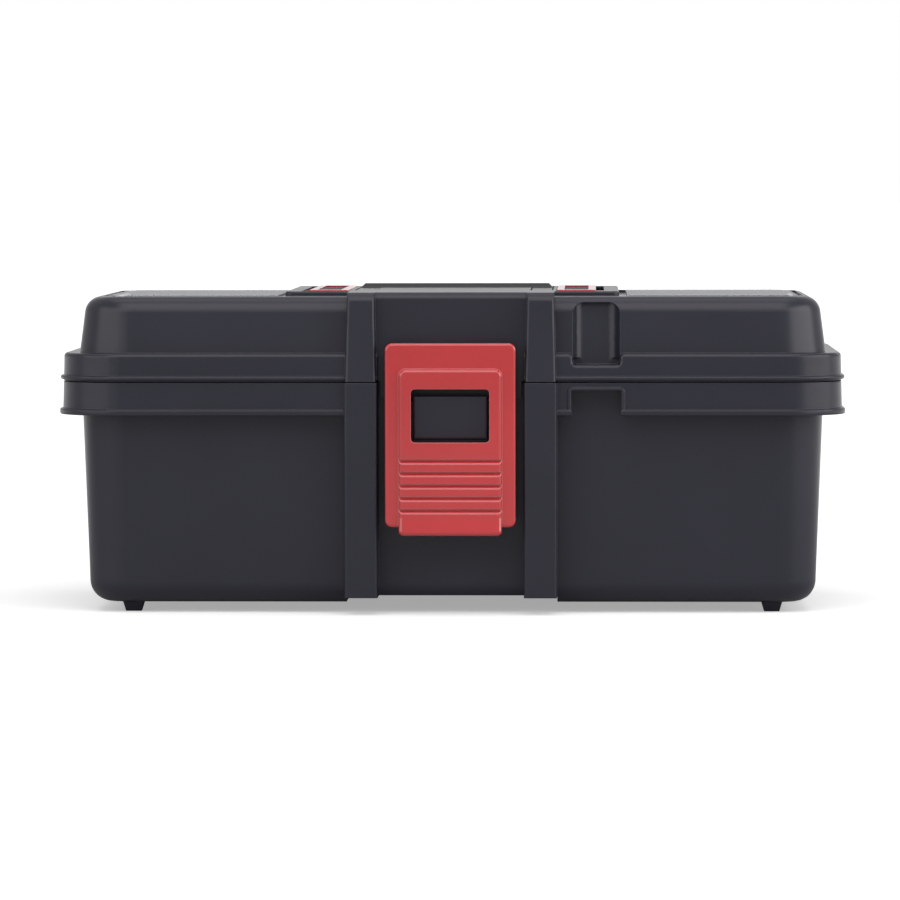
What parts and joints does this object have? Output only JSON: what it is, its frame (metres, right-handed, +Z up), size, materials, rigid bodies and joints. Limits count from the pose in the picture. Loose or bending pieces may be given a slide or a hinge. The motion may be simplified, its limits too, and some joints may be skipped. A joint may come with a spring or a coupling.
{
  "type": "toolbox with tray",
  "caption": "Small hand-carried plastic toolbox with a hinged lid, a front snap latch, organisers under clear covers in the lid, a folding handle and a lift-out tray.",
  "frame": {"origin": "middle of the box's footprint, on the floor that the feet stand on", "axes": "+Z up; -Y towards the front, where the latch is; +X to the right of someone facing the front"},
  "size_m": [0.312, 0.1657, 0.1288],
  "materials": {
    "charcoal_shell": "fine spark-eroded texture",
    "tray_plastic": "fine spark-eroded texture",
    "red_plastic": "satin",
    "black_plastic": "satin",
    "clear_plastic": "clear, smooth",
    "steel": "drawn"
  },
  "bodies": {
    "base": {"base_tub": "charcoal_shell", "hinge_pin_left": "steel", "hinge_pin_right": "steel"},
    "lid": {"lid_shell": "charcoal_shell", "latch_pin": "steel", "handle_pin_left": "steel", "handle_pin_right": "steel", "cover_pin_left": "steel", "cover_pin_right": "steel"},
    "latch": {"front_latch": "red_plastic"},
    "handle": {"carry_handle": "black_plastic"},
    "left_cover": {"cover_left": "clear_plastic"},
    "right_cover": {"cover_right": "clear_plastic"},
    "left_lock": {"cover_lock_left": "red_plastic", "lock_pad_left": "black_plastic"},
    "right_lock": {"cover_lock_right": "red_plastic", "lock_pad_right": "black_plastic"},
    "tray": {"tray": "tray_plastic"}
  },
  "joints": [
    {"name": "lid_hinge", "type": "hinge", "parent": "base", "child": "lid", "pos_m": [0, 0.0796, 0.092], "axis": [-1, 0, 0], "range_deg": [0, 105]},
    {"name": "latch_hinge", "type": "hinge", "parent": "lid", "child": "latch", "pos_m": [0, -0.0736, 0.1045], "axis": [-1, 0, 0], "range_deg": [-3, 90]},
    {"name": "handle_fold", "type": "hinge", "parent": "lid", "child": "handle", "pos_m": [0, -0.02, 0.119], "axis": [1, 0, 0], "range_deg": [0, 90]},
    {"name": "left_cover_hinge", "type": "hinge", "parent": "lid", "child": "left_cover", "pos_m": [-0.137, 0, 0.1236], "axis": [0, -1, 0], "range_deg": [0, 105]},
    {"name": "right_cover_hinge", "type": "hinge", "parent": "lid", "child": "right_cover", "pos_m": [0.137, 0, 0.1236], "axis": [0, 1, 0], "range_deg": [0, 105]},
    {"name": "left_lock_slide", "type": "slide", "parent": "lid", "child": "left_lock", "axis": [-1, 0, 0], "range_m": [0, 0.003]},
    {"name": "right_lock_slide", "type": "slide", "parent": "lid", "child": "right_lock", "axis": [1, 0, 0], "range_m": [0, 0.003]},
    {"name": "tray_lift", "type": "slide", "parent": "base", "child": "tray", "axis": [0, 0, 1], "range_m": [0, 0.055]}
  ],
  "couplings": [
    {"joint": "tray_lift", "follows": "lid_hinge", "m_per_rad": 0.03}
  ]
}
